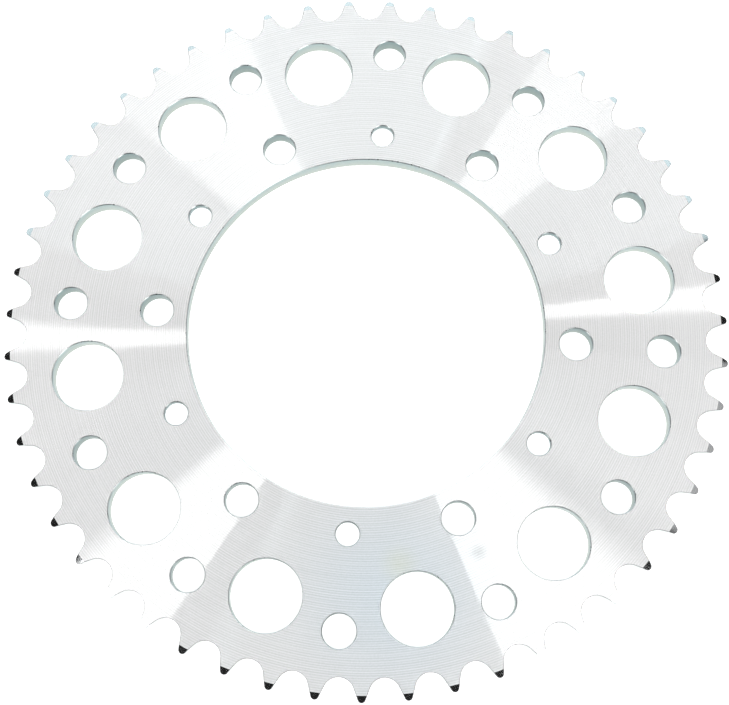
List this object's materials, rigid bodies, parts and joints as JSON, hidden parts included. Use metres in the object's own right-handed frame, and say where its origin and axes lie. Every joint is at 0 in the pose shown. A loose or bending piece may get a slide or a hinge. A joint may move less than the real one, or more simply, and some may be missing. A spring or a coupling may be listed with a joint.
{
  "type": "rear sprocket",
  "caption": "Flat round toothed chain wheel with a wide centre bore, a bolt circle and rings of round lightening holes.",
  "frame": {"origin": "centre of the bore on the outboard face, the one with the countersinks, which lies down", "axes": "+Z along the wheel axle, from the outboard face to the hub face; +X through a pair of medium lightening holes"},
  "size_m": [0.2633, 0.2633, 0.006],
  "materials": {
    "plate": "fine turned, bare, satin to bright"
  },
  "bodies": {
    "root": {"sprocket_plate": "plate"}
  },
  "joints": []
}
